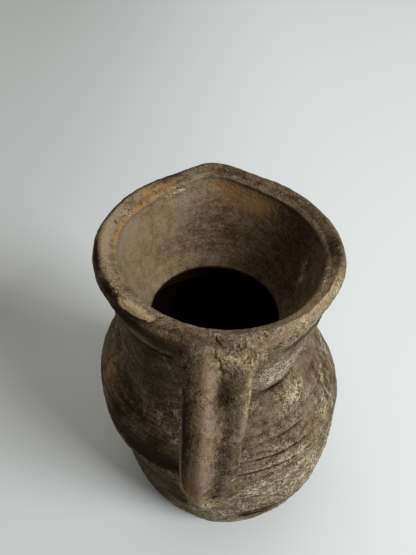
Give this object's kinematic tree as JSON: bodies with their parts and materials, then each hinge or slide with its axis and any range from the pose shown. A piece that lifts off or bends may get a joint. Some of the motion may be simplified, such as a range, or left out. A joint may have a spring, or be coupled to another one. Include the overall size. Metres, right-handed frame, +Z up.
{
  "type": "stoneware jug",
  "caption": "Round-bellied stoneware jug with a funnel neck, thick lip pulled into a spout, and a ridged strap handle from lip to belly.",
  "frame": {"origin": "middle of the flat foot, on the floor", "axes": "+Z up along the foot's axis, -Y towards the handle, +Y towards the spout"},
  "size_m": [0.1456, 0.1657, 0.217],
  "materials": {
    "stoneware_body": "unglazed dark brown stoneware, matt, with pale earthy crust",
    "stoneware_neck": "unglazed brown stoneware, matt, with iron stains and crust on the lip",
    "stoneware_handle": "unglazed brown stoneware, matt, worn paler on the ridges"
  },
  "bodies": {
    "root": {"base_disc": "stoneware_body", "lower_body": "stoneware_body", "upper_body": "stoneware_body", "neck": "stoneware_neck", "rim_band": "stoneware_neck", "handle_strap": "stoneware_handle", "handle_top_pad": "stoneware_handle", "handle_foot_pad": "stoneware_handle"}
  },
  "joints": []
}
